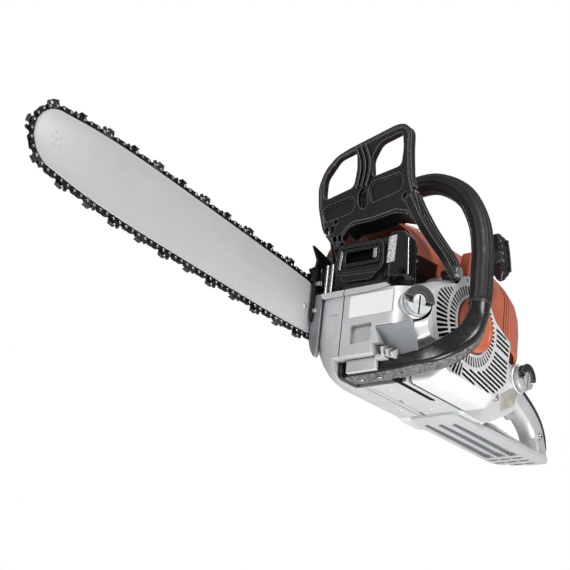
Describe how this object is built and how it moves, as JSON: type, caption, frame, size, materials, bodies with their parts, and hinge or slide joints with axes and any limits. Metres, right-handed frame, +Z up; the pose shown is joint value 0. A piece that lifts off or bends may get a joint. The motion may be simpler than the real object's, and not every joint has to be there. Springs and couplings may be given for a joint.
{
  "type": "chainsaw",
  "caption": "Petrol chainsaw with sprocket-nose guide bar and saw chain, wrap handlebar, chain brake guard, recoil starter, silencer and rear handle; for felling and cutting wood.",
  "frame": {"origin": "on the plane the saw rests on, straight below the crankshaft axis, in the crankcase's centre plane", "axes": "+X forward along the guide bar, +Y to the operator's left (starter side), +Z up"},
  "size_m": [0.8769, 0.2505, 0.309],
  "materials": {
    "magnesium": "light grey painted magnesium casting, semi gloss",
    "orange_plastic": "moulded orange plastic, satin",
    "black_plastic": "black moulded plastic or black enamel, satin with fine grain",
    "rubber": "black rubber, matt",
    "bar_steel": "ground and lacquered bar steel",
    "dark_steel": "blackened steel, oiled",
    "steel": "bright machined steel",
    "aluminium": "cast aluminium",
    "label": "plain white adhesive label, no text",
    "filter_paper": "pleated filter fleece"
  },
  "bodies": {
    "saw_body": {"air_filter": "filter_paper", "av_buffer_left": "rubber", "av_buffer_right": "rubber", "bar_nut_front": "steel", "bar_nut_rear": "steel", "bar_stud_front": "steel", "bar_stud_rear": "steel", "brake_band": "dark_steel", "bumper_spike": "dark_steel", "carburettor": "aluminium", "chain_catcher": "aluminium", "crankcase": "magnesium", "cylinder": "aluminium", "fan_housing": "magnesium", "filter_cover": "orange_plastic", "front_handlebar": "black_plastic", "guard_pivot_bolt": "steel", "guard_pivot_pin": "steel", "guide_bar": "bar_steel", "handlebar_grip": "rubber", "ignition_module": "black_plastic", "intake_manifold": "rubber", "label_plate": "label", "main_bearing_left": "steel", "main_bearing_right": "steel", "muffler_body": "black_plastic", "muffler_outlet": "black_plastic", "rear_handle_cover": "black_plastic", "rewind_spring": "steel", "saw_chain": "dark_steel", "spark_plug": "steel", "spark_plug_boot": "rubber", "sprocket_cover": "magnesium", "starter_badge": "orange_plastic", "tank_and_handle": "magnesium", "top_shroud": "orange_plastic"},
    "crankshaft": {"crankshaft_left": "steel", "crankshaft_right": "steel", "flywheel": "aluminium", "flywheel_nut": "steel", "clutch_hub": "dark_steel"},
    "clutch_drum": {"clutch_drum": "dark_steel", "rim_sprocket": "steel"},
    "nose_sprocket": {"nose_sprocket": "steel"},
    "piston": {"piston": "aluminium", "wrist_pin": "steel"},
    "connecting_rod": {"connecting_rod": "steel", "crank_pin": "steel"},
    "hand_guard": {"hand_guard": "black_plastic"},
    "throttle_trigger": {"throttle_trigger": "black_plastic"},
    "trigger_lockout": {"trigger_lockout": "black_plastic"},
    "master_lever": {"master_lever": "black_plastic"},
    "starter_grip": {"starter_grip": "black_plastic"},
    "starter_pulley": {"starter_pulley": "black_plastic"},
    "oil_cap": {"oil_cap": "magnesium"},
    "oil_cap_lever": {"oil_cap_lever": "black_plastic"},
    "fuel_cap": {"fuel_cap": "magnesium"},
    "fuel_cap_lever": {"fuel_cap_lever": "black_plastic"},
    "filter_cover_knob": {"filter_cover_knob": "black_plastic"},
    "decompression_valve": {"decompression_valve": "black_plastic"}
  },
  "joints": [
    {"name": "crankshaft_spin", "type": "hinge", "parent": "saw_body", "child": "crankshaft", "pos_m": [0, 0, 0.0826], "axis": [0, 1, 0], "continuous": true},
    {"name": "drum_spin", "type": "hinge", "parent": "saw_body", "child": "clutch_drum", "pos_m": [0, 0, 0.0826], "axis": [0, 1, 0], "continuous": true},
    {"name": "nose_spin", "type": "hinge", "parent": "saw_body", "child": "nose_sprocket", "pos_m": [0.5386, -0.0591, 0.12149], "axis": [0, 1, 0], "continuous": true},
    {"name": "piston_slide", "type": "slide", "parent": "saw_body", "child": "piston", "axis": [0, 0, 1], "range_m": [-0.04, 0]},
    {"name": "rod_swing", "type": "hinge", "parent": "piston", "child": "connecting_rod", "pos_m": [0, 0, 0.1646], "axis": [0, 1, 0], "range_deg": [-8, 8]},
    {"name": "guard_tilt", "type": "hinge", "parent": "saw_body", "child": "hand_guard", "pos_m": [0.044, 0, 0.134], "axis": [0, 1, 0], "range_deg": [0, 15]},
    {"name": "trigger_pull", "type": "hinge", "parent": "saw_body", "child": "throttle_trigger", "pos_m": [-0.211, 0.017, 0.056], "axis": [0, 1, 0], "range_deg": [0, 14], "stiffness_Nm_per_rad": 0.05},
    {"name": "lockout_press", "type": "hinge", "parent": "saw_body", "child": "trigger_lockout", "pos_m": [-0.21, 0.017, 0.1045], "axis": [0, 1, 0], "range_deg": [-8, 0], "stiffness_Nm_per_rad": 0.05},
    {"name": "master_lever_turn", "type": "hinge", "parent": "saw_body", "child": "master_lever", "pos_m": [-0.193, 0.036, 0.101], "axis": [0, 1, 0], "range_deg": [-35, 0]},
    {"name": "starter_pull", "type": "slide", "parent": "saw_body", "child": "starter_grip", "axis": [-0.957, 0, 0.29], "range_m": [0, 0.5]},
    {"name": "pulley_spin", "type": "hinge", "parent": "saw_body", "child": "starter_pulley", "pos_m": [0, 0.083, 0.0826], "axis": [0, 1, 0], "range_deg": [-960, 0]},
    {"name": "oil_cap_turn", "type": "hinge", "parent": "saw_body", "child": "oil_cap", "pos_m": [0.101, 0.0915, 0.077], "axis": [0.5, 0.866, 0], "range_deg": [0, 90]},
    {"name": "oil_cap_lever_lift", "type": "hinge", "parent": "oil_cap", "child": "oil_cap_lever", "pos_m": [0.1052, 0.09878, 0.077], "axis": [-0.866, 0.5, 0], "range_deg": [0, 90]},
    {"name": "fuel_cap_turn", "type": "hinge", "parent": "saw_body", "child": "fuel_cap", "pos_m": [-0.19, 0.054, 0.085], "axis": [0, 1, 0], "range_deg": [0, 90]},
    {"name": "fuel_cap_lever_lift", "type": "hinge", "parent": "fuel_cap", "child": "fuel_cap_lever", "pos_m": [-0.19, 0.0624, 0.085], "axis": [-1, 0, 0], "range_deg": [0, 90]},
    {"name": "cover_knob_turn", "type": "hinge", "parent": "saw_body", "child": "filter_cover_knob", "pos_m": [-0.183, 0, 0.157], "axis": [-0.8486, 0, 0.5291], "range_deg": [0, 90]},
    {"name": "valve_press", "type": "slide", "parent": "saw_body", "child": "decompression_valve", "axis": [0, 0, 1], "range_m": [-0.004, 0], "stiffness_N_per_m": 200}
  ],
  "couplings": [
    {"joint": "nose_spin", "follows": "drum_spin", "ratio": 0.63636},
    {"joint": "pulley_spin", "follows": "starter_pull", "rad_per_m": -33.333}
  ]
}
